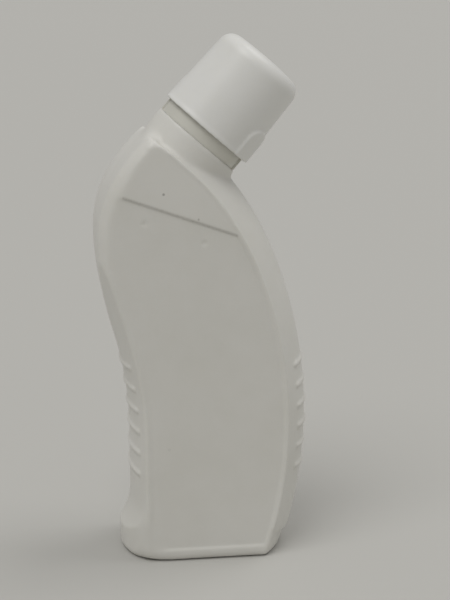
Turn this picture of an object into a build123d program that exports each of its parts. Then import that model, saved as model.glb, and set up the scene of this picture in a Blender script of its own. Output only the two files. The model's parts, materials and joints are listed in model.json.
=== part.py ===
from build123d import *
import os
from math import acos, asin, cos, degrees, radians, sin, sqrt

os.makedirs("parts", exist_ok=True)

# An angled-neck bottle for toilet gel. The broad faces look along Y, the neck leans to +X,
# and the bottle stands on Z = 0. All sizes are in millimetres and degrees.

# Body seen on a broad face
body_depth = 55.0
wall = 0.9
right_foot = 28.5
right_heading = 70.9
belly_radius = 210.0
belly_turn = 41.7
shoulder_radius = 127.8
face_slope = 43.8
belly_bulge = 12.0
left_foot = -30.3
back_x = -51.9
back_radius = 73.7
back_round = 8.0
base_round = 3.5
shoulder_foot = 104.0

# Grip hollow on the left narrow side
grip_start = 62.0
grip_radius = 185.0
grip_lean = 16.4
grip_bulge = 6.2
waist_radius = 133.0
waist_turn = 13.0
foot_bulge = 11.6
scoop_start = 31.0
scoop_radius = 40.0
scoop_turn = 42.0
heel_top = 13.0
heel_step = 2.0

# Finger ribs on both narrow sides
rib_count = 6
rib_pitch = 10.8
rib_lowest = 44.7
rib_radius = 1.7
rib_height = 0.9
rib_half_length = 20.0

# Sunk label panel and the shoulder above it
panel_depth = 0.6
panel_border = 1.6
panel_foot = 6.1
panel_top_left = 184.5
panel_left_x = -40.8
panel_slope = 19.6
shoulder_taper = 2.5
dimple_radius = 1.4
dimple_depth = 0.4
dimple_drop = 8.6
dimple_first = 14.6
dimple_spacing = 30.3

# Base
base_wall = 1.5
push_up = 2.5
standing_rim = 7.0

# Neck, measured along its own axis from the shoulder ledge
neck_tilt = 41.0
neck_shift = 6.5
neck_ledge = 2.3
collar_radius = 23.4
collar_height = 13.7
bow_end = 4.0
neck_wall = 1.6
cap_gap = 6.2
band_radius = 21.9
band_in_cap = 4.0
lug_width = 3.2
lug_height = 0.9
lug_angle = -16.0
finish_radius = 16.8
finish_height = 19.0
bore_radius = 14.7

# Pouring nozzle pressed into the neck
nozzle_fit = 0.05
nozzle_wall = 1.3
plug_length = 6.0
flange_margin = 0.8
flange_thick = 1.2
spout_height = 16.5
spout_foot_radius = 10.5
spout_tip_radius = 5.2
orifice_radius = 3.0

# Screw cap
cap_radius = 24.9
cap_top_radius = 22.7
cap_dome = 1.4
cap_edge_round = 7.0
cap_wall = 1.25
cap_top_wall = 2.4
rim_band = 0.8
rim_step = 0.45
rim_rise = 1.5
sleeve_clearance = 1.6
sleeve_wall = 1.4
sleeve_above_band = 2.0
pad_width = 16.0
pad_length = 16.5
pad_proud = 0.35
pad_flare = 0.3
pad_angle = -35.0
pad_round = 6.5

# Foam liner under the top of the cap
liner_thick = 1.5
liner_margin = 0.5
liner_clearance = 0.1
seal_clearance = 0.3

# Lengths by which forms that are joined or cut reach past each other
below = 10.0
root = 4.0
grip_lap = 8.0
scoop_lap = 20.0
near = 0.3


def bow(start, heading, radius, turn):
    """End of an arc that leaves start at a heading and turns left by a number of degrees."""
    a = radians(heading)
    b = radians(heading + turn)
    return (start[0] + radius * (sin(b) - sin(a)), start[1] - radius * (cos(b) - cos(a)))


def step(start, heading, length):
    """Point at a length from start along a heading."""
    a = radians(heading)
    return (start[0] + length * cos(a), start[1] + length * sin(a))


def course(heading):
    """Unit vector of a heading."""
    return (cos(radians(heading)), sin(radians(heading)))


# Ridge between the broad face and the right narrow side: two bows, then along the ledge
ledge_heading = 180.0 - face_slope
belly_heading = right_heading + belly_turn
ridge_a = (right_foot, 0.0)
ridge_b = bow(ridge_a, right_heading, belly_radius, belly_turn)
ridge_c = bow(ridge_b, belly_heading, shoulder_radius, ledge_heading - belly_heading)
neck_foot = step(ridge_c, ledge_heading, neck_shift)
top_left = step(neck_foot, ledge_heading, collar_radius + neck_ledge)

# Rounded back of the shoulder, down to its widest point
back_centre_x = back_x + back_radius
back_z = top_left[1] - sqrt(back_radius**2 - (top_left[0] - back_centre_x) ** 2)
back_mid_z = (top_left[1] + back_z) / 2
back_mid = (back_centre_x - sqrt(back_radius**2 - (back_mid_z - back_z) ** 2), back_mid_z)
waist_a = (back_x, back_z)
waist_b = bow(waist_a, 270.0, waist_radius, waist_turn)

# Ridge of the grip on the left side
grip_a = (left_foot, grip_start)
grip_heading = 90.0 + grip_lean
grip_b = bow(grip_a, 90.0, grip_radius, grip_lean)
grip_c = step(grip_b, grip_heading, (back_z - grip_b[1]) / sin(radians(grip_heading)) + grip_lap)
heel_bulge = belly_bulge - heel_step

# Dimples in the label panel, in a row under its slanted top
dimple_line = step((panel_left_x, panel_top_left), -panel_slope - 90.0, dimple_drop)
dimple_a = step(dimple_line, -panel_slope, dimple_first)
dimple_b = step(dimple_a, -panel_slope, dimple_spacing)

# Planes
front = Plane.XZ
neck_x = (cos(radians(neck_tilt)), 0, -sin(radians(neck_tilt)))
neck_z = (sin(radians(neck_tilt)), 0, cos(radians(neck_tilt)))
neck_origin = Vector(neck_foot[0], 0, neck_foot[1])
neck_section = Plane(origin=neck_origin, x_dir=neck_x, z_dir=(0, -1, 0))
ledge_x = (cos(radians(face_slope)), 0, -sin(radians(face_slope)))
ledge_section = Plane(origin=neck_origin, x_dir=ledge_x, z_dir=(0, -1, 0))
neck_plane = Plane(origin=neck_origin, x_dir=neck_x, z_dir=neck_z)
neck_axis = Axis(neck_origin, neck_z)
left_plane = Plane(origin=(left_foot, 0, -below), x_dir=(-1, 0, 0), z_dir=(0, 0, 1))

# Heights along the neck
band_top = collar_height + cap_gap + band_in_cap
finish_top = band_top + finish_height
flange_top = finish_top + flange_thick
spout_top = flange_top + spout_height
liner_bottom = spout_top + seal_clearance
cap_ceiling = liner_bottom + liner_thick + liner_clearance
cap_rim = collar_height + cap_gap
cap_top = cap_ceiling + cap_top_wall
hollow_top = cap_top - cap_dome - cap_edge_round
sleeve_radius = finish_radius + sleeve_clearance
sleeve_foot = band_top + sleeve_above_band


def half_depth(inset):
    """Half of the depth between the broad faces: the inside also clears the sunk panels."""
    return body_depth / 2 - inset - (panel_depth if inset else 0)


def side_section(plane, bulge, inset, far=-root):
    """Cross-section between the bow of a narrow side and a far line, with local X pointing outwards."""
    half = body_depth / 2
    radius = (half**2 + bulge**2) / (2 * bulge)
    edge = half_depth(inset)
    ridge_x = sqrt((radius - inset) ** 2 - edge**2) - (radius - bulge)
    with BuildSketch(plane) as section:
        with BuildLine():
            Polyline((ridge_x, edge), (far, edge), (far, -edge), (ridge_x, -edge))
            ThreePointArc((ridge_x, -edge), (bulge - inset, 0), (ridge_x, edge))
        make_face()
    return section.sketch


def ridge_plane(point, heading):
    """Plane across a ridge path, with local X pointing out of the body on the right."""
    along = (cos(radians(heading)), 0, sin(radians(heading)))
    out = (sin(radians(heading)), 0, -cos(radians(heading)))
    return Plane(origin=(point[0], 0, point[1]), x_dir=out, z_dir=along)


def full_outline(plane, inset):
    """Outline of a broad face as if there were no grip, drawn in by an inset."""
    start = step(ridge_a, right_heading, -below)
    with BuildSketch(plane) as outline:
        with BuildLine():
            JernArc(ridge_a, course(right_heading), belly_radius, belly_turn)
            JernArc(ridge_b, course(belly_heading), shoulder_radius, ledge_heading - belly_heading)
            Line(ridge_c, top_left)
            ThreePointArc(top_left, back_mid, waist_a)
            Polyline(waist_a, (back_x, -below), start, ridge_a)
        make_face()
        offset(amount=-inset)
    return outline.sketch


def grip_outline(plane, inset):
    """Region that the grip takes off the left of a broad face, grown by an inset."""
    left_start = (left_foot, -2 * below)
    with BuildSketch(plane) as outline:
        with BuildLine():
            Line(left_start, grip_a)
            JernArc(grip_a, course(90.0), grip_radius, grip_lean)
            Polyline(grip_b, grip_c, (2 * back_x, grip_c[1]), (2 * back_x, -2 * below), left_start)
        make_face()
        offset(amount=inset)
    return outline.sketch


def rounded_slab(inset):
    """Flat slab between the broad faces, with its back edges rounded."""
    with BuildPart() as slab:
        extrude(full_outline(front, inset), amount=half_depth(inset), both=True)
        back = slab.edges().filter_by_position(Axis.X, back_x - near, top_left[0] + inset)
        fillet(back.filter_by(Axis.Y, reverse=True), back_round - inset)
    return slab.part


def grip_form(inset, slab):
    """Bowed left side of the grip, kept within the rounded back of the slab above it."""
    low = step(waist_b, 270.0 + waist_turn, grip_bulge * 4)
    far = back_x - 3 * grip_bulge
    with BuildPart() as grip:
        with BuildLine(front) as left_path:
            Line((left_foot, -below), grip_a)
            JernArc(grip_a, course(90.0), grip_radius, grip_lean)
            Line(grip_b, grip_c)
        sweep(sections=side_section(left_plane, grip_bulge, inset), path=left_path.wire())
        add(slab, mode=Mode.INTERSECT)
        with BuildSketch(front):
            with BuildLine():
                ThreePointArc(top_left, back_mid, waist_a)
                JernArc(waist_a, course(270.0), waist_radius, waist_turn)
                Polyline(waist_b, low, (far, low[1]), (far, top_left[1]), top_left)
            make_face()
            offset(amount=inset)
        extrude(amount=body_depth, both=True, mode=Mode.SUBTRACT)
    return grip.part


def foot_form(inset):
    """Full-width foot under the grip, hollowed by the flared lower end of the grip."""
    scoop_a = (left_foot, scoop_start)
    scoop_top = (left_foot, scoop_start + scoop_lap)
    top_plane = Plane(origin=(left_foot, 0, scoop_top[1]), x_dir=(-1, 0, 0), z_dir=(0, 0, -1))
    with BuildPart() as foot:
        extrude(side_section(left_plane, foot_bulge, inset), amount=below + scoop_top[1] - root)
        with BuildLine(front) as scoop_path:
            Line(scoop_top, scoop_a)
            JernArc(scoop_a, course(270.0), scoop_radius, -scoop_turn)
        outside = side_section(top_plane, grip_bulge, inset, far=2 * foot_bulge)
        sweep(sections=outside, path=scoop_path.wire(), mode=Mode.SUBTRACT)
    return foot.part


def belly_form(inset):
    """Bowed right side, faded out under the collar and stepped in at the heel."""
    start = step(ridge_a, right_heading, -below)
    end = step(neck_foot, ledge_heading, collar_radius / 2)
    plane = ridge_plane(start, right_heading)
    heel_turn = degrees(heel_top / belly_radius)
    with BuildPart() as belly:
        with BuildLine(front) as right_path:
            Line(start, ridge_a)
            JernArc(ridge_a, course(right_heading), belly_radius, belly_turn)
            JernArc(ridge_b, course(belly_heading), shoulder_radius, ledge_heading - belly_heading)
            Line(ridge_c, end)
        sweep(sections=side_section(plane, belly_bulge, inset), path=right_path.wire())
        with BuildLine(front) as heel_path:
            Line(start, ridge_a)
            JernArc(ridge_a, course(right_heading), belly_radius, heel_turn)
        outside = side_section(plane, heel_bulge, inset, far=2 * belly_bulge)
        sweep(sections=outside, path=heel_path.wire(), mode=Mode.SUBTRACT)
        with BuildSketch(ledge_section):
            with BuildLine():
                Polyline(
                    (bow_end, -inset),
                    (bow_end + collar_radius, collar_radius),
                    (-2 * collar_radius, collar_radius),
                    (-2 * collar_radius, -inset),
                    close=True,
                )
            make_face()
        extrude(amount=body_depth, both=True, mode=Mode.SUBTRACT)
    return belly.part


def body_form(inset, floor):
    """The bottle's body without neck, drawn in by an inset all round and cut off at a floor."""
    slab = rounded_slab(inset)
    grip = grip_form(inset, slab)
    foot = foot_form(inset)
    belly = belly_form(inset)
    with BuildPart() as form:
        # Flat slab, without the region of the grip
        add(slab)
        extrude(grip_outline(front, inset), amount=body_depth, both=True, mode=Mode.SUBTRACT)
        add(grip)
        add(foot)
        add(belly)
        # Everything stands on the floor
        split(bisect_by=Plane.XY.offset(floor), keep=Keep.TOP)
        # Both broad faces lean inwards above the label
        for side in (-1, 1):
            lean = radians(shoulder_taper)
            slope = radians(panel_slope)
            inward = (-sin(lean) * sin(slope), -side * cos(lean), -sin(lean) * cos(slope))
            hinge = (panel_left_x, side * half_depth(inset), panel_top_left)
            split(bisect_by=Plane(origin=hinge, z_dir=inward), keep=Keep.TOP)
        fillet(form.edges().group_by(Axis.Z)[0], base_round - inset)
    return form.part


outer_form = body_form(0, 0)
inner_form = body_form(wall, base_wall)


def panel_outline(plane):
    """Sunk label panel: the face drawn in by its border, up to the slanted line."""
    reach = 2 * body_depth
    line_a = step((panel_left_x, panel_top_left), -panel_slope, -reach)
    line_b = step((panel_left_x, panel_top_left), -panel_slope, reach)
    with BuildSketch(plane) as panel:
        add(full_outline(plane, panel_border))
        add(grip_outline(plane, panel_border), mode=Mode.SUBTRACT)
        with BuildLine():
            Polyline(line_a, line_b, (line_b[0], line_a[1] + reach), (line_a[0], line_a[1] + reach), line_a)
        make_face(mode=Mode.SUBTRACT)
        with Locations((0, panel_foot - reach / 2)):
            Rectangle(2 * reach, reach, mode=Mode.SUBTRACT)
    return panel.sketch


def side_point(height, right):
    """Ridge point and heading whose bowed side stands at a height, on the right or the left."""
    if right:
        reach = belly_radius * cos(radians(right_heading)) - height
        heading = degrees(acos(reach / (belly_radius + belly_bulge)))
        return bow(ridge_a, right_heading, belly_radius, heading - right_heading), heading
    if height < grip_start:
        return (left_foot, height), 90.0
    turn = degrees(asin((height - grip_start) / (grip_radius - grip_bulge)))
    return bow(grip_a, 90.0, grip_radius, turn), 90.0 + turn


def rib(height, right):
    """Finger rib: a length of round bead laid along the bow of a narrow side."""
    point, heading = side_point(height, right)
    bulge = belly_bulge if right else grip_bulge
    sense = 1 if right else -1
    radius = ((body_depth / 2) ** 2 + bulge**2) / (2 * bulge)
    out = Vector(sense * sin(radians(heading)), 0, -sense * cos(radians(heading)))
    along = Vector(cos(radians(heading)), 0, sin(radians(heading)))
    centre = Vector(point[0], 0, point[1]) - out * (radius - bulge)
    lane = radius + rib_height - rib_radius
    half_arc = asin(rib_half_length / lane)
    first = out * cos(half_arc) - Vector(0, 1, 0) * sin(half_arc)
    last = out * cos(half_arc) + Vector(0, 1, 0) * sin(half_arc)
    turn_axis = Axis(centre, out.cross(Vector(0, 1, 0)))
    with BuildPart() as bead:
        with BuildSketch(Plane(origin=centre, x_dir=first, z_dir=first.cross(along))):
            with Locations((lane, 0)):
                Circle(rib_radius)
        revolve(axis=turn_axis, revolution_arc=2 * degrees(half_arc))
        with Locations(centre + first * lane, centre + last * lane):
            Sphere(rib_radius)
    return bead.part


def base_outline(inset):
    """Plan of the base, drawn in by an inset."""
    half = body_depth / 2
    with BuildSketch(Plane.XY) as base:
        with BuildLine():
            Polyline((left_foot, -half), (right_foot, -half))
            ThreePointArc((right_foot, -half), (right_foot + heel_bulge, 0), (right_foot, half))
            Polyline((right_foot, half), (left_foot, half))
            ThreePointArc((left_foot, half), (left_foot - foot_bulge, 0), (left_foot, -half))
        make_face()
        offset(amount=-inset)
    return base.sketch


rib_heights = [rib_lowest + i * rib_pitch for i in range(rib_count)]
ribs = [rib(height, right) for height in rib_heights for right in (False, True)]
front_face = front.offset(body_depth / 2)
back_face = front.offset(-body_depth / 2)
front_panel = panel_outline(front_face)
back_panel = panel_outline(back_face)

with BuildPart() as shell:
    add(outer_form)
    # Collar of the neck
    with BuildSketch(neck_plane.offset(-collar_height)):
        Circle(collar_radius)
    extrude(amount=2 * collar_height)
    # Sunk label panels
    extrude(front_panel, amount=-panel_depth, mode=Mode.SUBTRACT)
    extrude(back_panel, amount=panel_depth, mode=Mode.SUBTRACT)
    # Moulded dimples under the slanted line
    for plane, sense in ((front_face, -1), (back_face, 1)):
        with BuildSketch(plane):
            with Locations(dimple_a, dimple_b):
                Circle(dimple_radius)
        extrude(amount=sense * (panel_depth + dimple_depth), mode=Mode.SUBTRACT)
    # Finger ribs
    add(ribs)
    # Inside of the body, with the base pushed up inside its standing rim
    add(inner_form, mode=Mode.SUBTRACT)
    extrude(base_outline(standing_rim - base_wall), amount=push_up + base_wall)
    extrude(base_outline(standing_rim), amount=push_up, mode=Mode.SUBTRACT)
    # Inside of the collar, open at the top for the neck
    with BuildSketch(neck_plane.offset(-collar_height)):
        Circle(collar_radius - neck_wall)
    extrude(amount=2 * collar_height - neck_wall, mode=Mode.SUBTRACT)
    with BuildSketch(neck_plane):
        Circle(band_radius - neck_wall)
    extrude(amount=collar_height, mode=Mode.SUBTRACT)

# The shell in two lengths: the body that stands on the base, and the shoulder with the collar
with BuildPart() as bottle:
    add(shell.part)
    split(bisect_by=Plane.XY.offset(shoulder_foot), keep=Keep.BOTTOM)

with BuildPart() as shoulder:
    add(shell.part)
    split(bisect_by=Plane.XY.offset(shoulder_foot), keep=Keep.TOP)

with BuildPart() as neck:
    # Band and finish that stand on the collar
    with BuildSketch(neck_section):
        with BuildLine():
            Polyline(
                (band_radius - neck_wall, collar_height),
                (band_radius, collar_height),
                (band_radius, band_top),
                (finish_radius, band_top),
                (finish_radius, finish_top),
                (bore_radius, finish_top),
                (bore_radius, band_top - neck_wall),
                (band_radius - neck_wall, band_top - neck_wall),
                close=True,
            )
        make_face()
    revolve(axis=neck_axis)
    # Stops for the cap on the band
    with BuildSketch(neck_plane.offset(collar_height)):
        with PolarLocations(band_radius, 2, start_angle=lug_angle):
            Rectangle(2 * lug_height, lug_width)
    extrude(amount=cap_gap + band_in_cap)

with BuildPart() as nozzle_plug:
    # Plug in the bore, under a flange that lies on the finish
    with BuildSketch(neck_section):
        with BuildLine():
            Polyline(
                (bore_radius - nozzle_fit, finish_top),
                (bore_radius - nozzle_fit, finish_top - plug_length),
                (bore_radius - nozzle_fit - nozzle_wall, finish_top - plug_length),
                (bore_radius - nozzle_fit - nozzle_wall, finish_top),
                (spout_foot_radius - nozzle_wall, finish_top),
                (spout_foot_radius - nozzle_wall, flange_top),
                (finish_radius - flange_margin, flange_top),
                (finish_radius - flange_margin, finish_top),
                close=True,
            )
        make_face()
    revolve(axis=neck_axis)

with BuildPart() as pouring_nozzle:
    # Tapered spout that stands on the flange
    with BuildSketch(neck_section):
        with BuildLine():
            Polyline(
                (spout_foot_radius - nozzle_wall, flange_top),
                (orifice_radius, spout_top - nozzle_wall),
                (orifice_radius, spout_top),
                (spout_tip_radius, spout_top),
                (spout_foot_radius, flange_top),
                close=True,
            )
        make_face()
    revolve(axis=neck_axis)


def pad_plane(angle):
    """Plane along the neck axis that looks outwards at an angle round it."""
    a = radians(angle)
    radial = Vector(neck_x) * cos(a) + Vector(0, 1, 0) * sin(a)
    tangent = Vector(0, 1, 0) * cos(a) - Vector(neck_x) * sin(a)
    return Plane(origin=neck_origin, x_dir=tangent, z_dir=radial)


# Squeeze pads: tongues on two sides of the skirt, standing out most at the rim
pad_skin_foot = cap_radius + pad_proud + pad_flare
pad_skin_lean = pad_flare / pad_length
with BuildPart() as pads:
    for angle in (pad_angle, pad_angle + 180.0):
        with BuildSketch(pad_plane(angle)):
            with Locations((0, cap_rim)):
                RectangleRounded(pad_width, 2 * pad_length, pad_round)
        extrude(amount=2 * cap_radius)
    with BuildSketch(neck_section):
        with BuildLine():
            Polyline(
                (0, cap_rim),
                (pad_skin_foot, cap_rim),
                (pad_skin_foot - 2 * pad_length * pad_skin_lean, cap_rim + 2 * pad_length),
                (0, cap_rim + 2 * pad_length),
                close=True,
            )
        make_face()
    revolve(axis=neck_axis, mode=Mode.INTERSECT)

with BuildPart() as cap:
    # Turned outside with a rounded top edge and a low dome
    with BuildSketch(neck_section):
        with BuildLine():
            Polyline(
                (0, cap_top),
                (0, cap_rim),
                (cap_radius, cap_rim),
                (cap_radius, cap_rim + rim_band),
                (cap_radius - rim_step, cap_rim + rim_band + rim_rise),
                (cap_top_radius, cap_top - cap_dome),
            )
            ThreePointArc(
                (cap_top_radius, cap_top - cap_dome),
                (cap_top_radius / 2, cap_top - cap_dome / 4),
                (0, cap_top),
            )
        make_face()
    revolve(axis=neck_axis)
    circles = cap.edges().filter_by(GeomType.CIRCLE)
    fillet(circles.filter_by(lambda circle: circle.radius < cap_top_radius + rim_step), cap_edge_round)
    add(pads.part)
    # Hollow skirt and the seat of the liner
    with BuildSketch(neck_section):
        with BuildLine():
            Polyline(
                (0, cap_rim),
                (cap_radius - cap_wall, cap_rim),
                (cap_top_radius - cap_wall, hollow_top),
                (sleeve_radius, hollow_top),
                (sleeve_radius, cap_ceiling),
                (0, cap_ceiling),
                close=True,
            )
        make_face()
    revolve(axis=neck_axis, mode=Mode.SUBTRACT)

with BuildPart() as cap_sleeve:
    # Inner sleeve that screws onto the finish
    with BuildSketch(neck_plane.offset(sleeve_foot)):
        Circle(sleeve_radius + sleeve_wall)
        Circle(sleeve_radius, mode=Mode.SUBTRACT)
    extrude(amount=hollow_top - sleeve_foot)

with BuildPart() as seal_liner:
    with BuildSketch(neck_plane.offset(liner_bottom)):
        Circle(sleeve_radius - liner_margin)
    extrude(amount=liner_thick)

bottle.part.label = "bottle"
shoulder.part.label = "shoulder"
neck.part.label = "neck"
nozzle_plug.part.label = "nozzle_plug"
pouring_nozzle.part.label = "pouring_nozzle"
cap.part.label = "cap"
cap_sleeve.part.label = "cap_sleeve"
seal_liner.part.label = "seal_liner"

export_step(bottle.part, "parts/bottle.step")
export_step(shoulder.part, "parts/shoulder.step")
export_step(neck.part, "parts/neck.step")
export_step(nozzle_plug.part, "parts/nozzle_plug.step")
export_step(pouring_nozzle.part, "parts/pouring_nozzle.step")
export_step(cap.part, "parts/cap.step")
export_step(cap_sleeve.part, "parts/cap_sleeve.step")
export_step(seal_liner.part, "parts/seal_liner.step")
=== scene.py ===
import json
import logging
import math
from collections.abc import Callable
from dataclasses import dataclass, field
from enum import Enum

import bmesh
import bpy
import numpy as np
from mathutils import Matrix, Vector
from mathutils.bvhtree import BVHTree


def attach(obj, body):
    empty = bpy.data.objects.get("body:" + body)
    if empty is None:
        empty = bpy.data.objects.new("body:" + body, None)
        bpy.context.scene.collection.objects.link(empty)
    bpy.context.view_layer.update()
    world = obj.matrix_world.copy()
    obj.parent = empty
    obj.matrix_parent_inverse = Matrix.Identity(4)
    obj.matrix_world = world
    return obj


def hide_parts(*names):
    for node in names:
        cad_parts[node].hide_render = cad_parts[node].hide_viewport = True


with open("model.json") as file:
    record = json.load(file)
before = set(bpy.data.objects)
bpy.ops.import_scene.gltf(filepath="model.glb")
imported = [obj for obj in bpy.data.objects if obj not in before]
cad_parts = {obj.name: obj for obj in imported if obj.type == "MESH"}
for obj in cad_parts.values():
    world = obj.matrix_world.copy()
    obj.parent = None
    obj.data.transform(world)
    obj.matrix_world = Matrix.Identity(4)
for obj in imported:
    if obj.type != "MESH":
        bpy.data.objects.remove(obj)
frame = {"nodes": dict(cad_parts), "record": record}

log = logging.getLogger("gel_bottle")
MM = 0.001
NOISE_MEAN = 0.5
RELAX_STEP = 0.5


class Body(Enum):
    """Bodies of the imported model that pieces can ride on."""

    BOTTLE = "bottle"
    LINER = "liner"
    CAP = "cap"


class Slot(Enum):
    """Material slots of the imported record."""

    BOTTLE = "bottle_white"
    NOZZLE = "nozzle_natural"
    CAP = "cap_white"
    LINER = "liner_foam"


class NodeMaker:
    """Short way to add and link nodes in one node tree."""

    def __init__(self, tree: bpy.types.NodeTree) -> None:
        """Keep the tree that nodes are added to.

        Args:
            tree: Node tree of a material, a world or a node group.
        """
        self.tree = tree

    def add(self, kind: str, **settings: object) -> bpy.types.Node:
        """Add a node and set its properties.

        Args:
            kind: Blender's name of the node type.
            settings: Properties of the node, by name.

        Returns:
            The new node.
        """
        node = self.tree.nodes.new(kind)
        for name, value in settings.items():
            setattr(node, name, value)
        return node

    def link(self, source: bpy.types.NodeSocket, target: bpy.types.NodeSocket) -> None:
        """Link an output socket to an input socket."""
        self.tree.links.new(source, target)

    def feed(self, value: object, target: bpy.types.NodeSocket) -> None:
        """Link a socket, or set a plain value, on an input socket.

        Args:
            value: Output socket or plain value.
            target: Input socket.
        """
        if isinstance(value, bpy.types.NodeSocket):
            self.link(value, target)
        else:
            target.default_value = value

    def math(self, operation: str, *values: object) -> bpy.types.NodeSocket:
        """Add a math node.

        Args:
            operation: Blender's name of the operation.
            values: Sockets or numbers of its inputs, in order.

        Returns:
            The result's socket.
        """
        node = self.add("ShaderNodeMath", operation=operation)
        for index, value in enumerate(values):
            self.feed(value, node.inputs[index])
        return node.outputs[0]

    def vector(self, operation: str, *values: object) -> bpy.types.Node:
        """Add a vector math node.

        Args:
            operation: Blender's name of the operation.
            values: Sockets or vectors of its inputs, in order.

        Returns:
            The node, whose output depends on the operation.
        """
        node = self.add("ShaderNodeVectorMath", operation=operation)
        for index, value in enumerate(values):
            self.feed(value, node.inputs[index])
        return node

    def ramp(self, value: bpy.types.NodeSocket, low: float, high: float) -> bpy.types.NodeSocket:
        """Map a value smoothly to 0 at one number and to 1 at another.

        Args:
            value: Socket to map.
            low: Value that gives 0.
            high: Value that gives 1.

        Returns:
            The mapped value's socket.
        """
        node = self.add("ShaderNodeMapRange", interpolation_type="SMOOTHSTEP")
        self.link(value, node.inputs["Value"])
        node.inputs["From Min"].default_value = low
        node.inputs["From Max"].default_value = high
        return node.outputs["Result"]


def new_group(
    name: str, inputs: dict[str, float], outputs: list[str]
) -> tuple[bpy.types.NodeTree, NodeMaker]:
    """Start a shader node group with a vector input and number inputs and outputs.

    Args:
        name: Name of the group.
        inputs: Number inputs with their default values.
        outputs: Names of the number outputs.

    Returns:
        The group and a maker for its nodes.
    """
    group = bpy.data.node_groups.new(name, "ShaderNodeTree")
    group.interface.new_socket("Vector", in_out="INPUT", socket_type="NodeSocketVector")
    for key, value in inputs.items():
        socket = group.interface.new_socket(key, in_out="INPUT", socket_type="NodeSocketFloat")
        socket.default_value = value
    for key in outputs:
        group.interface.new_socket(key, in_out="OUTPUT", socket_type="NodeSocketFloat")
    return group, NodeMaker(group)


class MouldSurface:
    """Node group: soft waves and fine grain of moulded plastic in metres, and faint handling marks."""

    def __init__(self) -> None:
        """Build the group once."""
        sizes = {"Wave Scale": 60.0, "Wave Height": 0.00006, "Grain Scale": 2600.0, "Grain Height": 0.000006}
        group, make = new_group("Moulded surface", {**sizes, "Mark Scale": 25.0}, ["Height", "Marks"])
        source = make.add("NodeGroupInput")
        result = make.add("NodeGroupOutput")
        wave = make.add("ShaderNodeTexNoise")
        wave.inputs["Detail"].default_value = 2.0
        grain = make.add("ShaderNodeTexNoise")
        grain.inputs["Detail"].default_value = 3.0
        marks = make.add("ShaderNodeTexNoise")
        marks.inputs["Detail"].default_value = 6.0
        marks.inputs["Roughness"].default_value = 0.65
        for node, scale in ((wave, "Wave Scale"), (grain, "Grain Scale"), (marks, "Mark Scale")):
            make.link(source.outputs["Vector"], node.inputs["Vector"])
            make.link(source.outputs[scale], node.inputs["Scale"])
        coarse = make.math("MULTIPLY", wave.outputs["Fac"], source.outputs["Wave Height"])
        fine = make.math("MULTIPLY", grain.outputs["Fac"], source.outputs["Grain Height"])
        make.link(make.math("ADD", coarse, fine), result.inputs["Height"])
        make.link(marks.outputs["Fac"], result.inputs["Marks"])
        self.group = group


class PartingLine:
    """Node group: height in metres of the line that the two mould halves leave in the plane y = 0."""

    def __init__(self) -> None:
        """Build the group once."""
        group, make = new_group("Parting line", {"Half Width": 0.0003, "Line Height": 0.00008}, ["Height"])
        source = make.add("NodeGroupInput")
        result = make.add("NodeGroupOutput")
        axes = make.add("ShaderNodeSeparateXYZ")
        make.link(source.outputs["Vector"], axes.inputs["Vector"])
        away = make.math("ABSOLUTE", axes.outputs["Y"])
        share = make.math("DIVIDE", away, source.outputs["Half Width"])
        crest = make.ramp(share, 1.0, 0.0)
        make.link(make.math("MULTIPLY", crest, source.outputs["Line Height"]), result.inputs["Height"])
        self.group = group


@dataclass(frozen=True)
class Speck:
    """Small spot of dirt on the front face, by its place seen from the front, in millimetres."""

    x: float
    z: float
    radius: float
    strength: float
    inner_edge: float = 0.05
    outer_edge: float = 0.45


@dataclass(frozen=True)
class ShadeAndDirtLine:
    """Thin line of painted shade, with some dirt, in a moulded step, by its ends seen from the front, in
    millimetres.
    """

    start: tuple[float, float]
    end: tuple[float, float]
    half_width: float
    strength: float
    fade: float = 1.0


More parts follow.
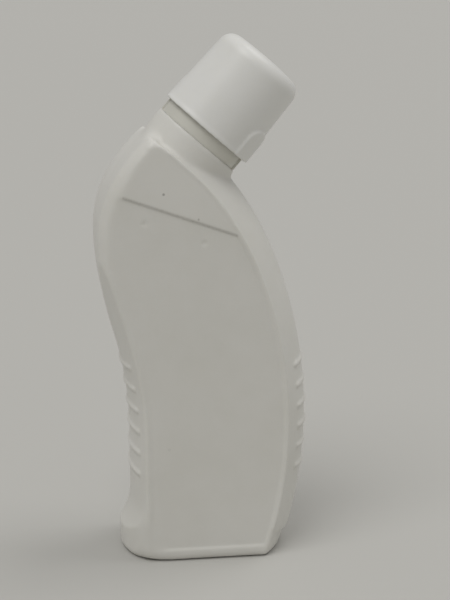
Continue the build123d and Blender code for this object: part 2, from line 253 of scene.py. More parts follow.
@dataclass(frozen=True)
class PlasticFinish:
    """Satin moulded plastic with slight tone changes and soft surface waves."""

    name: str
    colour: tuple[float, float, float]
    dull_colour: tuple[float, float, float]
    roughness: float
    roughness_spread: float
    wave_height: float
    grain_height: float
    subsurface: float
    line_height: float = 0.0
    # One dark colour serves the dirt specks and the painted shade line in the label's step.
    dirt_and_shade_colour: tuple[float, float, float] = (0.1, 0.09, 0.07)
    specks: tuple[Speck, ...] = ()
    step_shade_and_dirt: ShadeAndDirtLine | None = None
    dull_below: float = 0.35
    clean_above: float = 0.6
    dirt_and_shade_grain: float = 1500.0
    dirt_ragged: float = 0.5
    subsurface_radius: tuple[float, float, float] = (1.0, 0.95, 0.85)
    subsurface_depth: float = 1.5
    ior: float = 1.5

    def build(self, surface: MouldSurface, line: PartingLine) -> bpy.types.Material:
        """Make the material.

        Args:
            surface: Shared node group of the moulded surface.
            line: Shared node group of the parting line.

        Returns:
            The finished material.
        """
        material = bpy.data.materials.new(self.name)
        material.use_nodes = True
        make = NodeMaker(material.node_tree)
        shader = material.node_tree.nodes["Principled BSDF"]
        place = make.add("ShaderNodeTexCoord").outputs["Object"]
        mould = make.add("ShaderNodeGroup", node_tree=surface.group)
        mould.inputs["Wave Height"].default_value = self.wave_height
        mould.inputs["Grain Height"].default_value = self.grain_height
        make.link(place, mould.inputs["Vector"])
        colour = self.tone(make, mould.outputs["Marks"])
        if self.specks:
            # The specks are dirt; the line along the label's top step is painted shade with some dirt.
            colour = self.soil_and_shade(make, place, colour)
        make.link(colour, shader.inputs["Base Color"])
        spread = make.math("MULTIPLY", mould.outputs["Marks"], self.roughness_spread)
        rough = make.math("ADD", spread, self.roughness - self.roughness_spread / 2)
        make.link(rough, shader.inputs["Roughness"])
        height = mould.outputs["Height"]
        if self.line_height:
            seam = make.add("ShaderNodeGroup", node_tree=line.group)
            seam.inputs["Line Height"].default_value = self.line_height
            make.link(place, seam.inputs["Vector"])
            height = make.math("ADD", height, seam.outputs["Height"])
        bump = make.add("ShaderNodeBump")
        bump.inputs["Strength"].default_value = 1.0
        bump.inputs["Distance"].default_value = 1.0
        make.link(height, bump.inputs["Height"])
        make.link(bump.outputs["Normal"], shader.inputs["Normal"])
        shader.inputs["Subsurface Weight"].default_value = self.subsurface
        shader.inputs["Subsurface Radius"].default_value = self.subsurface_radius
        shader.inputs["Subsurface Scale"].default_value = self.subsurface_depth * MM
        shader.inputs["IOR"].default_value = self.ior
        return material

    def tone(self, make: NodeMaker, marks: bpy.types.NodeSocket) -> bpy.types.NodeSocket:
        """Vary the colour a little over the surface.

        Args:
            make: Maker for the material's nodes.
            marks: Socket of the handling marks.

        Returns:
            The colour's socket.
        """
        tone = make.add("ShaderNodeValToRGB")
        tone.color_ramp.elements[0].position = self.dull_below
        tone.color_ramp.elements[0].color = (*self.dull_colour, 1.0)
        tone.color_ramp.elements[1].position = self.clean_above
        tone.color_ramp.elements[1].color = (*self.colour, 1.0)
        make.link(marks, tone.inputs["Fac"])
        return tone.outputs["Color"]

    def soil_and_shade(
        self, make: NodeMaker, place: bpy.types.NodeSocket, colour: bpy.types.NodeSocket
    ) -> bpy.types.NodeSocket:
        """Lay the dirt specks and the line of painted shade, with some dirt, in the label's step on the side
        that looks to the front.

        Args:
            make: Maker for the material's nodes.
            place: Socket of the object's own coordinates.
            colour: Socket of the clean colour.

        Returns:
            The colour's socket, with dirt and painted shade.
        """
        flat = make.vector("MULTIPLY", place, (1.0, 0.0, 1.0)).outputs["Vector"]
        uneven = make.add("ShaderNodeTexNoise")
        uneven.inputs["Scale"].default_value = self.dirt_and_shade_grain
        make.link(place, uneven.inputs["Vector"])
        ragged = make.math("MULTIPLY", uneven.outputs["Fac"], self.dirt_ragged * MM)
        dirt_and_shade: object = 0.0
        for speck in self.specks:
            centre = (speck.x * MM, 0.0, speck.z * MM)
            away = make.vector("DISTANCE", flat, centre).outputs["Value"]
            edge = make.math("ADD", away, ragged)
            outer = (speck.radius + speck.outer_edge) * MM
            spot = make.ramp(edge, outer, (speck.radius + speck.inner_edge) * MM)
            dirt_and_shade = make.math("MAXIMUM", dirt_and_shade, make.math("MULTIPLY", spot, speck.strength))
        # Painted shade, with some dirt, darkens the step along the top of the label panel.
        if self.step_shade_and_dirt:
            dirt_and_shade = make.math("MAXIMUM", dirt_and_shade, self.step_shade_mask(make, place, uneven.outputs["Fac"]))
        axes = make.add("ShaderNodeSeparateXYZ")
        make.link(place, axes.inputs["Vector"])
        front = make.math("LESS_THAN", axes.outputs["Y"], 0.0)
        mix = make.add("ShaderNodeMix", data_type="RGBA")
        make.link(make.math("MULTIPLY", dirt_and_shade, front), mix.inputs["Factor"])
        make.link(colour, mix.inputs["A"])
        mix.inputs["B"].default_value = (*self.dirt_and_shade_colour, 1.0)
        return mix.outputs["Result"]

    def step_shade_mask(
        self, make: NodeMaker, place: bpy.types.NodeSocket, uneven: bpy.types.NodeSocket
    ) -> bpy.types.NodeSocket:
        """Mask of the line of painted shade, with some dirt, in the label's top step.

        Args:
            make: Maker for the material's nodes.
            place: Socket of the object's own coordinates.
            uneven: Socket of a fine noise that breaks the line up.

        Returns:
            The mask's socket.
        """
        (x, z), (end_x, end_z) = self.step_shade_and_dirt.start, self.step_shade_and_dirt.end
        length = math.hypot(end_x - x, end_z - z)
        across = ((z - end_z) / length, 0.0, (end_x - x) / length)
        height = make.vector("DOT_PRODUCT", place, across).outputs["Value"]
        away = make.math("ABSOLUTE", make.math("SUBTRACT", height, (x * across[0] + z * across[2]) * MM))
        line = make.ramp(away, self.step_shade_and_dirt.half_width * MM, 0.0)
        axes = make.add("ShaderNodeSeparateXYZ")
        make.link(place, axes.inputs["Vector"])
        first = make.ramp(axes.outputs["X"], x * MM, (x + self.step_shade_and_dirt.fade) * MM)
        last = make.ramp(axes.outputs["X"], end_x * MM, (end_x - self.step_shade_and_dirt.fade) * MM)
        strength = self.step_shade_and_dirt.strength / NOISE_MEAN
        broken = make.math("MULTIPLY", make.math("MULTIPLY", line, uneven), strength)
        return make.math("MULTIPLY", broken, make.math("MULTIPLY", first, last))


SPECKS = (
    Speck(-20.6, 185.2, 0.6, 0.5),
    Speck(-4.2, 172.9, 0.5, 0.35),
    Speck(-21.2, 177.7, 0.5, 0.2),
    Speck(-19.0, 58.7, 0.8, 0.07),
)
HDPE = PlasticFinish(
    "Bottle white",
    colour=(0.69, 0.68, 0.64),
    dull_colour=(0.665, 0.655, 0.61),
    roughness=0.42,
    roughness_spread=0.1,
    wave_height=0.00006,
    grain_height=0.000006,
    subsurface=0.15,
    line_height=0.00008,
    specks=SPECKS,
    # Painted shade, with some dirt, along the step at the top of the label panel.
    step_shade_and_dirt=ShadeAndDirtLine((-40.4, 184.06), (15.0, 164.33), half_width=1.3, strength=0.26),
)
# Same plastic as the bottle, made darker: painted shade for the gap under the cap.
SHADED_NECK_HDPE = PlasticFinish(
    "Neck white painted shade",
    colour=(0.63, 0.62, 0.56),
    dull_colour=(0.6, 0.59, 0.53),
    roughness=0.4,
    roughness_spread=0.1,
    wave_height=0.00003,
    grain_height=0.000004,
    subsurface=0.15,
)
POLYPROPYLENE = PlasticFinish(
    "Cap white",
    colour=(0.745, 0.741, 0.715),
    dull_colour=(0.725, 0.721, 0.69),
    roughness=0.38,
    roughness_spread=0.08,
    wave_height=0.00003,
    grain_height=0.000003,
    subsurface=0.15,
)
LDPE = PlasticFinish(
    "Nozzle natural",
    colour=(0.72, 0.74, 0.74),
    dull_colour=(0.69, 0.71, 0.71),
    roughness=0.4,
    roughness_spread=0.1,
    wave_height=0.00003,
    grain_height=0.000003,
    subsurface=0.3,
)
FOAM = PlasticFinish(
    "Liner foam",
    colour=(0.8, 0.8, 0.78),
    dull_colour=(0.74, 0.74, 0.72),
    roughness=0.85,
    roughness_spread=0.1,
    wave_height=0.0001,
    grain_height=0.00008,
    subsurface=0.0,
)


@dataclass(frozen=True)
class NeckFrame:
    """Axis of the leaning neck, in millimetres and degrees."""

    foot_x: float = -10.287
    foot_z: float = 197.045
    tilt: float = 41.0

    def place(self, radius: float, angle: float, height: float) -> tuple[float, float, float]:
        """Point round the axis, in metres.

        Args:
            radius: Distance from the axis in millimetres.
            angle: Angle round the axis in radians, from the low side of the lean.
            height: Height along the axis in millimetres.

        Returns:
            The point in the frame of the bottle.
        """
        lean = math.radians(self.tilt)
        across = radius * math.cos(angle)
        x = self.foot_x + across * math.cos(lean) + height * math.sin(lean)
        z = self.foot_z - across * math.sin(lean) + height * math.cos(lean)
        return (x * MM, radius * math.sin(angle) * MM, z * MM)

    def measure(self, points: np.ndarray) -> tuple[np.ndarray, np.ndarray]:
        """Radius and height of points, in millimetres.

        Args:
            points: Points in metres, one a row.

        Returns:
            Distances from the axis and heights along it.
        """
        lean = math.radians(self.tilt)
        x = points[:, 0] / MM - self.foot_x
        z = points[:, 2] / MM - self.foot_z
        across = x * math.cos(lean) - z * math.sin(lean)
        return np.hypot(across, points[:, 1] / MM), x * math.sin(lean) + z * math.cos(lean)


def read_points(mesh: bpy.types.Mesh) -> np.ndarray:
    """Read the vertices of a mesh.

    Args:
        mesh: Mesh to read.

    Returns:
        Points in metres, one a row.
    """
    points = np.empty(len(mesh.vertices) * 3, np.float32)
    mesh.vertices.foreach_get("co", points)
    return points.reshape(-1, 3).astype(float)


def apply_modifier(mesh: bpy.types.Mesh, kind: str, **settings: object) -> bpy.types.Mesh:
    """Run one modifier on a mesh.

    Args:
        mesh: Mesh to start from, which is used up.
        kind: Blender's name of the modifier type.
        settings: Properties of the modifier, by name.

    Returns:
        The new mesh.
    """
    holder = bpy.data.objects.new("holder", mesh)
    bpy.context.scene.collection.objects.link(holder)
    modifier = holder.modifiers.new("step", kind)
    for name, value in settings.items():
        setattr(modifier, name, value)
    graph = bpy.context.evaluated_depsgraph_get()
    result = bpy.data.meshes.new_from_object(holder.evaluated_get(graph))
    bpy.data.objects.remove(holder)
    bpy.data.meshes.remove(mesh)
    return result


def fade_out(away: np.ndarray, reach: float) -> np.ndarray:
    """Let a share fall smoothly with the distance.

    Args:
        away: Distances.
        reach: Distance at which nothing is left.

    Returns:
        Shares from 1 at no distance to 0.
    """
    near = np.clip(1.0 - away / reach, 0.0, 1.0)
    return near * near * (3.0 - 2.0 * near)


@dataclass(frozen=True)
class SoftSpot:
    """Stretch of an edge that the mould rounds more than the rest, in millimetres."""

    start: tuple[float, float, float]
    end: tuple[float, float, float]
    reach: float
    passes: int

    def shares(self, points: np.ndarray) -> np.ndarray:
        """Share of rounding, which fades out with the distance from the stretch.

        Args:
            points: Points in metres, one a row.

        Returns:
            Shares from 0 to 1.
        """
        start = np.array(self.start)
        along = np.array(self.end) - start
        offset = points / MM - start
        place = np.clip(offset @ along / (along @ along), 0.0, 1.0)
        return fade_out(np.linalg.norm(offset - place[:, None] * along, axis=1), self.reach)


def relax(points: np.ndarray, ends: np.ndarray, shares: np.ndarray, passes: int) -> None:
    """Move points towards the middle of their neighbours.

    Args:
        points: Points, one a row, which are changed.
        ends: Indices of both ends of each edge.
        shares: Share of the way that each point goes, from 0 to 1.
        passes: Number of rounds.
    """
    pulls = np.concatenate((ends, ends[:, ::-1]))
    pulls = pulls[shares[pulls[:, 0]] > 0.0]
    movers, order = np.unique(pulls[:, 0], return_inverse=True)
    degree = np.bincount(order)[:, None]
    step = RELAX_STEP * shares[movers][:, None]
    for _ in range(passes):
        sums = [np.bincount(order, points[pulls[:, 1], axis]) for axis in range(3)]
        points[movers] += step * (np.stack(sums, axis=1) / degree - points[movers])


@dataclass(frozen=True)
class SoftMould:
    """Way to round the edges of a moulded form, with a fine even mesh that is relaxed and thinned out."""

    voxel: float
    passes: int
    triangles: int
    spots: tuple[SoftSpot, ...] = ()

    def round_off(
        self, mesh: bpy.types.Mesh, softness: Callable[[np.ndarray], np.ndarray]
    ) -> bpy.types.Mesh:
        """Round the edges of a closed mesh.

        Args:
            mesh: Closed mesh, which is used up.
            softness: Gives each point's share of rounding, from 0 to 1.

        Returns:
            The rounded mesh.
        """
        even = apply_modifier(mesh, "REMESH", mode="VOXEL", voxel_size=self.voxel * MM)
        points = read_points(even)
        edges = np.empty(len(even.edges) * 2, np.int32)
        even.edges.foreach_get("vertices", edges)
        ends = edges.reshape(-1, 2)
        for spot in self.spots:
            relax(points, ends, spot.shares(points), spot.passes)
        relax(points, ends, softness(points), self.passes)
        even.vertices.foreach_set("co", points.astype(np.float32).ravel())
        even.update()
        full = 2 * len(even.polygons)
        return apply_modifier(even, "DECIMATE", ratio=min(1.0, self.triangles / full))


def add_piece(
    name: str, mesh: bpy.types.Mesh, material: bpy.types.Material, body: Body
) -> bpy.types.Object:
    """Put a finished mesh into the scene.

    Args:
        name: Name of the piece.
        mesh: Its mesh.
        material: Its finish.
        body: Body that it rides on.

    Returns:
        The new object.
    """
    mesh.name = name
    mesh.materials.clear()
    mesh.materials.append(material)
    mesh.shade_smooth()
    piece = bpy.data.objects.new(name, mesh)
    bpy.context.scene.collection.objects.link(piece)
    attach(piece, body.value)
    log.info("built %s with %d faces", name, len(mesh.polygons))
    return piece


def dress_nodes(slot: Slot, material: bpy.types.Material) -> None:
    """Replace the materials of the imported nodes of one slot.

    Args:
        slot: Material slot of the record.
        material: Its finish.
    """
    for part in frame["record"]["subparts"]:
        if part["material_slot"] == slot.value:
            mesh = frame["nodes"][part["node"]].data
            mesh.materials.clear()
            mesh.materials.append(material)
            log.info("dressed %s with %s", part["node"], material.name)


THREAD_PROFILE = (
    (0.0, -0.5),
    (0.55, -0.36),
    (0.92, -0.2),
    (1.0, 0.0),
    (0.92, 0.2),
    (0.55, 0.36),
    (0.0, 0.5),
)


@dataclass
class ThreadRun:
    """One start of a right-handed screw thread round the neck axis, in millimetres."""

    root: float
    crest: float
    first: float
    turns: float
    pitch: float = 4.2
    width: float = 1.8
    steps: int = 72
    run_out: float = 0.125
    neck: NeckFrame = field(default_factory=NeckFrame)

    def build_mesh(self) -> bpy.types.Mesh:
        """Sweep a rounded profile up the screw line, running out at both ends.

        Returns:
            The thread's mesh.
        """
        count = int(self.turns * self.steps)
        thread = bmesh.new()
        rings = []
        for i in range(count + 1):
            angle = 2 * math.pi * i / self.steps
            grown = min(1.0, min(i, count - i) / (self.run_out * self.steps))
            fade = math.sin(math.pi / 2 * grown)
            height = self.first + self.pitch * i / self.steps
            ring = []
            for rise, along in THREAD_PROFILE:
                radius = self.root + (self.crest - self.root) * rise * fade
                point = self.neck.place(radius, angle, height + along * self.width)
                ring.append(thread.verts.new(point))
            rings.append(ring)
        for low, high in zip(rings, rings[1:]):
            for j in range(len(THREAD_PROFILE)):
                k = (j + 1) % len(THREAD_PROFILE)
                thread.faces.new((low[j], low[k], high[k], high[j]))
        thread.faces.new(rings[0])
        thread.faces.new(rings[-1])
        bmesh.ops.recalc_face_normals(thread, faces=thread.faces)
        mesh = bpy.data.meshes.new("thread")
        thread.to_mesh(mesh)
        thread.free()
        return mesh


@dataclass(frozen=True)
class LabelTop:
    """Sloping top line of the label panel seen from the front, in millimetres and degrees."""

    x: float = -40.8
    z: float = 184.5
    slope: float = 19.6

    def above(self, x: float | np.ndarray, z: float | np.ndarray) -> float | np.ndarray:
        """Height of points over the line, which is below 0 on the label.

        Args:
            x: Place of the points across the bottle.
            z: Height of the points.

        Returns:
            Distances from the line.
        """
        slope = math.radians(self.slope)
        return (z - self.z) * math.cos(slope) + (x - self.x) * math.sin(slope)


@dataclass(frozen=True)
class RidgeArc:
    """Arc of the ridge seen from the front: its centre, radius, and first and last heading."""

    x: float
    z: float
    radius: float
    first: float
    last: float


@dataclass(frozen=True)
class RidgePoint:
    """Point of the ridge seen from the front, with its heading and the share of the bow's height there."""

    x: float
    z: float
    heading: float
    share: float

    def place(self, out: float, across: float) -> Vector:
        """Point beside the ridge, in metres.

        Args:
            out: Height over the ridge in millimetres.
            across: Distance from the middle plane in millimetres.

        Returns:
            The point in the frame of the bottle.
        """
        angle = math.radians(self.heading)
        return Vector((self.x + out * math.sin(angle), across, self.z - out * math.cos(angle))) * MM


@dataclass(frozen=True)
class RidgeBead:
    """Fine bead along the ridge beside the bowed right side, in millimetres and degrees.

    The ridge runs up two arcs and then along the ledge beside the collar, where the bow runs out.
    """

    arcs: tuple[RidgeArc, ...] = (
        RidgeArc(-169.94, 68.72, 210.0, 75.0, 112.6),
        RidgeArc(-94.06, 100.31, 127.8, 112.6, 136.2),
    )
    arc_steps: int = 40
    ledge: tuple[float, float] = (-5.6, 192.55)
    ledge_heading: float = 136.2
    ledge_length: float = 21.5
    ledge_steps: int = 16
    half_depth: float = 27.5
    face_band: float = 3.5
    bulge: float = 12.0
    taper: float = 2.5
    label: LabelTop = LabelTop()
    radius: float = 0.9
    ring_steps: int = 12
    proud: float = 0.3
    sink_out: float = 0.37
    sink_across: float = 0.93
    fade: float = 0.9
    fade_from: float = 0.25
    run_out_from: float = 133.7
    run_out_steps: int = 25
    run_out_margin: float = 0.2
    run_out_sink: float = 0.05
    run_out_root: float = 1.5

    def path(self) -> list[RidgePoint]:
        """Follow the ridge from the heel up.

        Returns:
            Points of the ridge, in order.
        """
        points = []
        for arc in self.arcs:
            for turn in np.linspace(arc.first, arc.last, self.arc_steps, endpoint=False):
                angle = math.radians(turn)
                x, z = arc.x + arc.radius * math.sin(angle), arc.z - arc.radius * math.cos(angle)
                points.append(RidgePoint(x, z, turn, 1.0))
        angle = math.radians(self.ledge_heading)
        for share in np.linspace(1.0, 0.0, self.ledge_steps):
            length = (1.0 - share) * self.ledge_length
            x, z = self.ledge[0] + length * math.cos(angle), self.ledge[1] + length * math.sin(angle)
            points.append(RidgePoint(x, z, self.ledge_heading, share))
        return points

    def face_depth(self, point: RidgePoint) -> float:
        """Distance of a broad face from the middle plane, which shrinks above the label."""
        above = max(0.0, self.label.above(point.x, point.z))
        return self.half_depth - above * math.tan(math.radians(self.taper))

    def lift(self, depth: float) -> float:
        """Height of the bowed side over the ridge path, at a distance from the middle plane."""
        radius = (self.half_depth**2 + self.bulge**2) / (2 * self.bulge)
        return math.sqrt(radius**2 - depth**2) - (radius - self.bulge)

    @staticmethod
    def loft(skin: bmesh.types.BMesh, rings: list[list[Vector]]) -> None:
        """Add a closed skin over a row of rings.

        Args:
            skin: Mesh that it is added to.
            rings: Points of each ring in metres, the same number in each.
        """
        rows = [[skin.verts.new(point) for point in ring] for ring in rings]
        faces = [skin.faces.new(rows[0]), skin.faces.new(rows[-1])]
        for low, high in zip(rows, rows[1:]):
            for j, vert in enumerate(low):
                k = (j + 1) % len(low)
                faces.append(skin.faces.new((vert, low[k], high[k], high[j])))
        bmesh.ops.recalc_face_normals(skin, faces=faces)

    def add_to(self, skin: bmesh.types.BMesh) -> None:
        """Lay the beads on both faces of a skin and let the bow run out beside the collar.

        Args:
            skin: Mesh of the outer skin, which the forms are added to.
        """
        beads: dict[float, list[list[Vector]]] = {-1.0: [], 1.0: []}
        run_out = []
        for point in self.path():
            depth = self.face_depth(point)
            for side, rings in beads.items():
                rings.append(self.ring(point, side, depth))
            if point.heading > self.run_out_from:
                reach = depth - self.run_out_margin
                top = [
                    point.place(point.share * self.lift(y) - self.run_out_sink, y)
                    for y in np.linspace(-reach, reach, self.run_out_steps)
                ]
                root = [point.place(-self.run_out_root, y) for y in (reach, -reach)]
                run_out.append([*top, *root])
        for rings in (*beads.values(), run_out):
            self.loft(skin, rings)

    def ring(self, point: RidgePoint, side: float, depth: float) -> list[Vector]:
        """Section of the bead, which sinks away at the end of the ridge.

        Args:
            point: Point of the ridge.
            side: -1 for the front face and 1 for the back face.
            depth: Distance of the face from the middle plane.

        Returns:
            Points of the section in metres.
        """
        sunk = self.radius - self.proud + self.fade * max(0.0, 1.0 - point.share / self.fade_from)
        ring = []
        for turn in np.linspace(0.0, 2 * math.pi, self.ring_steps, endpoint=False):
            out = point.share * self.lift(depth) + self.radius * math.cos(turn) - self.sink_out * sunk
            across = depth + self.radius * math.sin(turn) - self.sink_across * sunk
            ring.append(point.place(out, side * across))
        return ring

    def near(self, points: np.ndarray, reach: float) -> np.ndarray:
        """Find the points beside the ridge.

        Args:
            points: Points in millimetres, one a row.
            reach: Greatest distance from the ridge, seen from the front.

        Returns:
            A flag for each point.
        """
        x, y, z = points.T
        found = np.zeros(len(points), bool)
        for arc in self.arcs:
            found |= np.abs(np.hypot(x - arc.x, z - arc.z) - arc.radius) < reach
        angle = math.radians(self.ledge_heading)
        off = (x - self.ledge[0]) * math.sin(angle) - (z - self.ledge[1]) * math.cos(angle)
        found |= (np.abs(off) < reach) & (z > self.ledge[1])
        return found & (np.abs(y) > self.half_depth - self.face_band)


FOOT_CORNERS = tuple(
    SoftSpot((-31.0, y, -4.0), (-31.0, y, 8.0), reach=12.0, passes=160) for y in (-27.5, 27.5)
)
COLLAR_LIP = SoftSpot((-25.5, -15.0, 212.0), (-25.5, 15.0, 212.0), reach=7.5, passes=250)
SHOULDER_TIPS = tuple(
    SoftSpot((-26.5, y, 212.5), (-24.5, y, 210.5), reach=4.6, passes=60) for y in (-25.0, 25.0)
)
COLLAR_FOOT = SoftSpot((8.5, -9.0, 188.0), (8.5, 9.0, 188.0), reach=11.0, passes=80)
SHELL_SPOTS = (*FOOT_CORNERS, COLLAR_LIP, *SHOULDER_TIPS, COLLAR_FOOT)


@dataclass
class BottleShell:
    """Blow-moulded bottle with soft edges, its neck with a thread, and the pouring nozzle."""

    neck: NeckFrame = field(default_factory=NeckFrame)
    mould: SoftMould = SoftMould(voxel=0.6, passes=12, triangles=150000, spots=SHELL_SPOTS)
    nodes: tuple[str, ...] = ("bottle", "shoulder")
    weld: float = 0.001
    shoulder_foot: float = 104.0
    seam_gap: float = 0.002
    seam_weld: float = 0.02
    collar_top: float = 13.7
    rim_gap: float = 0.02
    lid_depth: float = 1.0
    bore: float = 20.3
    rib_low: float = 12.0
    rib_high: float = 102.5
    rib_reach: float = 22.0
    ridge: RidgeBead = RidgeBead()
    ridge_reach: float = 2.6
    collar_radius: float = 23.4
    collar_wall: float = 1.5
    collar_margin: float = 0.1
    collar_root: float = 0.5
    least_wall: float = 0.5
    tucked_wall: float = 0.6
    ledge_slope: float = 43.8
    lip: tuple[float, float] = (-28.84, 214.83)
    lip_reach: float = 52.0
    lip_shift: float = 3.6
    label: LabelTop = LabelTop()
    label_reach: float = 2.0
    label_share: float = 0.4
    panel_foot: float = 6.1
    panel_foot_reach: float = 1.6
    dimples: tuple[tuple[float, float], ...] = ((-29.93, 171.5), (-1.39, 161.34))
    dimple_reach: float = 3.0
    crisp_share: float = 0.25
    thread: ThreadRun = field(
        default_factory=lambda: ThreadRun(root=16.6, crest=17.9, first=28.0, turns=2.5)
    )

    def split_skins(self) -> tuple[bpy.types.Mesh, bpy.types.Mesh]:
        """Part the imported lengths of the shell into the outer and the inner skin.

        Returns:
            The outer skin with its beads, closed over the collar, and the inner skin.
        """
        skins = (bmesh.new(), bmesh.new())
        for node in self.nodes:
            work = bmesh.new()
            work.from_mesh(frame["nodes"][node].data)
            bmesh.ops.remove_doubles(work, verts=work.verts, dist=self.weld * MM)
            joint = self.on_joint(work)
            flat = [face for face in work.faces if all(joint[vert.index] for vert in face.verts)]
            bmesh.ops.delete(work, geom=flat, context="FACES_ONLY")
            work.faces.index_update()
            outer = self.linked_faces(max(work.verts, key=lambda vert: vert.co.y))
            for skin, is_outer in zip(skins, (True, False)):
                part = work.copy()
                drop = [face for face in part.faces if (face.index in outer) != is_outer]
                bmesh.ops.delete(part, geom=drop, context="FACES")
                mesh = bpy.data.meshes.new("length")
                part.to_mesh(mesh)
                part.free()
                skin.from_mesh(mesh)
                bpy.data.meshes.remove(mesh)
            work.free()
        bmesh.ops.remove_doubles(skins[0], verts=skins[0].verts, dist=self.seam_weld * MM)
        rim = self.on_joint(skins[0], seam=False)
        borders = [edge for edge in skins[0].edges if edge.is_boundary]
        mouth = [edge for edge in borders if all(rim[vert.index] for vert in edge.verts)]
        bmesh.ops.holes_fill(skins[0], edges=mouth)
        self.draw_in(skins[0], self.collar_radius)
        self.draw_in(skins[1], self.collar_radius - self.collar_wall)
        self.ridge.add_to(skins[0])
        meshes = []
        for skin in skins:
            mesh = bpy.data.meshes.new("skin")
            skin.to_mesh(mesh)
            skin.free()
            meshes.append(mesh)
        return meshes[0], meshes[1]

    def on_joint(self, work: bmesh.types.BMesh, seam: bool = True) -> np.ndarray:
        """Find the points on the rim of the collar and where the shell's two lengths meet.

        Args:
            work: Mesh to look through.
            seam: Whether points where the lengths meet count too.

        Returns:
            A flag for each vertex, by its index.
        """
        work.verts.index_update()
        points = np.array([vert.co for vert in work.verts])
        found = np.abs(self.neck.measure(points)[1] - self.collar_top) < self.rim_gap
        if seam:
            found |= np.abs(points[:, 2] / MM - self.shoulder_foot) < self.seam_gap
        return found

    def draw_in(self, skin: bmesh.types.BMesh, collar: float) -> None:
        """Draw the upper back of the shoulder in to the collar, along the ledge.

        Args:
            skin: Mesh of a skin, which is changed.
            collar: Radius of the collar's wall on this skin, which stays as it is.
        """
        skin.verts.index_update()
        points = np.array([vert.co for vert in skin.verts])
        radii, heights = self.neck.measure(points)
        away = np.hypot(points[:, 0] / MM - self.lip[0], points[:, 2] / MM - self.lip[1])
        shift = self.lip_shift * fade_out(away, self.lip_reach)
        shift[(radii < collar + self.collar_margin) & (heights > -self.collar_root)] = 0.0
        slope = math.radians(self.ledge_slope)
        for vert, length in zip(skin.verts, shift):
            vert.co += Vector((math.cos(slope), 0.0, -math.sin(slope))) * float(length) * MM

    def tuck_in(self, inner: bmesh.types.BMesh, outer: bmesh.types.BMesh) -> None:
        """Keep the inner skin under the rounded outer skin.

        Args:
            inner: Mesh of the inner skin, which is changed.
            outer: Mesh of the outer skin.
        """
        tree = BVHTree.FromBMesh(outer)
        inner.verts.index_update()
        heights = self.neck.measure(np.array([vert.co for vert in inner.verts]))[1]
        for vert in inner.verts:
            place, normal, _, _ = tree.find_nearest(vert.co)
            thin = (vert.co - place).dot(normal) > -self.least_wall * MM
            if thin and heights[vert.index] < self.collar_top - self.collar_wall:
                vert.co = place - normal * self.tucked_wall * MM

    @staticmethod
    def linked_faces(start: bmesh.types.BMVert) -> set[int]:
        """Find the faces that hang together with a vertex.

        Args:
            start: Vertex to start from.

        Returns:
            Indices of the faces.
        """
        found: set[int] = set()
        todo = list(start.link_faces)
        while todo:
            face = todo.pop()
            if face.index not in found:
                found.add(face.index)
                todo.extend(other for edge in face.edges for other in edge.link_faces)
        return found

    def softness(self, points: np.ndarray) -> np.ndarray:
        """Share of rounding: full on most edges, little where the form is fine.

        The ribs, the scoop over the heel, the right ridge and the small steps of the label panel stay crisp.

        Args:
            points: Points in metres, one a row.

        Returns:
            Shares from 0 to 1.
        """
        x, y, z = (points / MM).T
        crisp = (z > self.rib_low) & (z < self.rib_high) & (np.abs(y) < self.rib_reach)
        on_face = np.abs(y) > self.rib_reach
        line = on_face & (np.abs(self.label.above(x, z)) < self.label_reach)
        crisp |= on_face & (np.abs(z - self.panel_foot) < self.panel_foot_reach)
        for dimple_x, dimple_z in self.dimples:
            crisp |= on_face & (np.hypot(x - dimple_x, z - dimple_z) < self.dimple_reach)
        crisp |= self.ridge.near(points / MM, self.ridge_reach)
        return np.where(crisp, self.crisp_share, np.where(line, self.label_share, 1.0))

    def build_shell(self, material: bpy.types.Material) -> None:
        """Round the outer skin, open it under the neck and line it with the inner skin.

        Args:
            material: Finish of the shell.
        """
        outer, inner = self.split_skins()
        soft = self.mould.round_off(outer, self.softness)
        shell = bmesh.new()
        shell.from_mesh(soft)
        lining = bmesh.new()
        lining.from_mesh(inner)
        self.tuck_in(lining, shell)
        lining.to_mesh(inner)
        lining.free()
        shell.verts.index_update()
        radii, heights = self.neck.measure(np.array([vert.co for vert in shell.verts]))
        mouth = (radii < self.bore) & (heights > self.collar_top - self.lid_depth)
        lid = [face for face in shell.faces if all(mouth[vert.index] for vert in face.verts)]
        bmesh.ops.delete(shell, geom=lid, context="FACES")
        shell.from_mesh(inner)
        shell.to_mesh(soft)
        shell.free()
        bpy.data.meshes.remove(inner)
        piece = add_piece("bottle_shell", soft, material, Body.BOTTLE)
        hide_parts(*self.nodes)

    def build(self, surface: MouldSurface, line: PartingLine) -> None:
        """Build the shell and the thread, and dress the neck and the nozzle.

        Args:
            surface: Shared node group of the moulded surface.
            line: Shared node group of the parting line.
        """
        white = HDPE.build(surface, line)
        dress_nodes(Slot.BOTTLE, white)
        dress_nodes(Slot.NOZZLE, LDPE.build(surface, line))
        # The neck and its thread get the darker finish: painted shade under the cap.
        shaded_neck = SHADED_NECK_HDPE.build(surface, line)
        frame["nodes"]["neck"].data.materials[0] = shaded_neck
        self.build_shell(white)
        add_piece("neck_thread", self.thread.build_mesh(), shaded_neck, Body.BOTTLE)


PAD_FOOT = NeckFrame().place(radius=25.2, angle=math.radians(164.0), height=25.0)
PAD_TOP = NeckFrame().place(radius=25.0, angle=math.radians(157.0), height=37.0)
PAD_CORNER = SoftSpot(
    tuple(value / MM for value in PAD_FOOT), tuple(value / MM for value in PAD_TOP), reach=6.5, passes=150
)


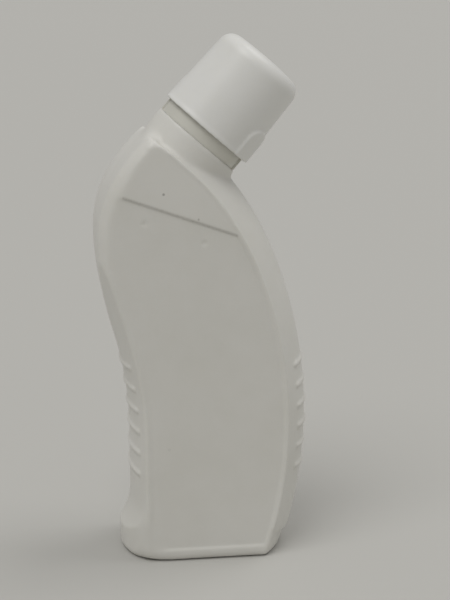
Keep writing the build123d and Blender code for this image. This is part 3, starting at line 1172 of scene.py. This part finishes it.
@dataclass
class Closure:
    """Squeeze-and-turn cap with soft pads, its threaded sleeve and the foam liner."""

    neck: NeckFrame = field(default_factory=NeckFrame)
    mould: SoftMould = SoftMould(voxel=0.45, passes=14, triangles=120000, spots=(PAD_CORNER,))
    weld: float = 0.001
    thread: ThreadRun = field(
        default_factory=lambda: ThreadRun(root=18.6, crest=17.3, first=30.1, turns=2.0)
    )

    def build_cap(self, material: bpy.types.Material) -> None:
        """Round the edges of the cap and its pads.

        Args:
            material: Finish of the cap.
        """
        work = bmesh.new()
        work.from_mesh(frame["nodes"]["cap"].data)
        bmesh.ops.remove_doubles(work, verts=work.verts, dist=self.weld * MM)
        mesh = bpy.data.meshes.new("cap")
        work.to_mesh(mesh)
        work.free()
        soft = self.mould.round_off(mesh, lambda points: np.ones(len(points)))
        piece = add_piece("cap_shell", soft, material, Body.CAP)
        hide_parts("cap")

    def build(self, surface: MouldSurface, line: PartingLine) -> None:
        """Build the cap and its thread, and dress the sleeve and the liner.

        Args:
            surface: Shared node group of the moulded surface.
            line: Shared node group of the parting line.
        """
        white = POLYPROPYLENE.build(surface, line)
        dress_nodes(Slot.CAP, white)
        dress_nodes(Slot.LINER, FOAM.build(surface, line))
        self.build_cap(white)
        add_piece("cap_thread", self.thread.build_mesh(), white, Body.CAP)


@dataclass
class Studio:
    """Pale floor, soft light and the photograph's camera."""

    image_height_px: float = 600.0
    focal_px: float = 1480.0
    sensor: float = 36.0
    camera_place: tuple[float, float, float] = (-0.0845, -0.7097, 0.303)
    camera_yaw: float = 7.75
    camera_pitch: float = 13.83
    clip_start: float = 0.01
    clip_end: float = 50.0
    floor_half: float = 30.0
    floor_colour: tuple[float, float, float] = (0.5, 0.493, 0.465)
    floor_roughness: float = 0.7
    light_spread: float = 36.0
    key_source: tuple[float, float, float] = (-0.5, -0.6, 1.37)
    key_strength: float = 1.0
    fill_source: tuple[float, float, float] = (0.7, 0.15, 1.37)
    fill_strength: float = 0.7
    room_colour: tuple[float, float, float] = (1.0, 0.99, 0.97)
    room_strength: float = 0.41

    def build_camera(self) -> None:
        """Place the camera at the photograph's viewing angle."""
        data = bpy.data.cameras.new("camera")
        data.sensor_width = self.sensor
        data.lens = self.focal_px / self.image_height_px * self.sensor
        data.clip_start = self.clip_start
        data.clip_end = self.clip_end
        camera = bpy.data.objects.new("camera", data)
        camera.location = self.camera_place
        tip = math.radians(90.0 - self.camera_pitch)
        camera.rotation_euler = (tip, 0.0, math.radians(-self.camera_yaw))
        bpy.context.scene.collection.objects.link(camera)
        bpy.context.scene.camera = camera

    def build_floor(self) -> None:
        """Lay a wide plain floor."""
        mesh = bpy.data.meshes.new("floor")
        half = self.floor_half
        corners = [(-half, -half, 0.0), (half, -half, 0.0), (half, half, 0.0), (-half, half, 0.0)]
        mesh.from_pydata(corners, [], [(0, 1, 2, 3)])
        floor = bpy.data.objects.new("floor", mesh)
        bpy.context.scene.collection.objects.link(floor)
        material = bpy.data.materials.new("Pale floor")
        material.use_nodes = True
        shader = material.node_tree.nodes["Principled BSDF"]
        shader.inputs["Base Color"].default_value = (*self.floor_colour, 1.0)
        shader.inputs["Roughness"].default_value = self.floor_roughness
        mesh.materials.append(material)

    def build_light(self, name: str, source: tuple[float, float, float], strength: float) -> None:
        """Add a broad soft light from far off.

        Args:
            name: Name of the light.
            source: Direction that it comes from.
            strength: Power in watts per square metre.
        """
        data = bpy.data.lights.new(name, "SUN")
        data.angle = math.radians(self.light_spread)
        data.energy = strength
        light = bpy.data.objects.new(name, data)
        light.location = source
        light.rotation_euler = (-Vector(source)).to_track_quat("-Z", "Y").to_euler()
        bpy.context.scene.collection.objects.link(light)

    def build_world(self) -> None:
        """Fill the room with plain soft light."""
        world = bpy.data.worlds.new("room")
        world.use_nodes = True
        ground = world.node_tree.nodes["Background"]
        ground.inputs["Color"].default_value = (*self.room_colour, 1.0)
        ground.inputs["Strength"].default_value = self.room_strength
        bpy.context.scene.world = world

    def build(self) -> None:
        """Build the whole studio."""
        self.build_camera()
        self.build_floor()
        self.build_light("key light", self.key_source, self.key_strength)
        self.build_light("fill light", self.fill_source, self.fill_strength)
        self.build_world()
        bpy.context.scene.view_settings.view_transform = "Standard"


def main() -> None:
    """Dress the part and build its studio."""
    logging.basicConfig(level=logging.INFO)
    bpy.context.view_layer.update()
    surface = MouldSurface()
    line = PartingLine()
    BottleShell().build(surface, line)
    Closure().build(surface, line)
    Studio().build()


if __name__ == "__main__":
    main()
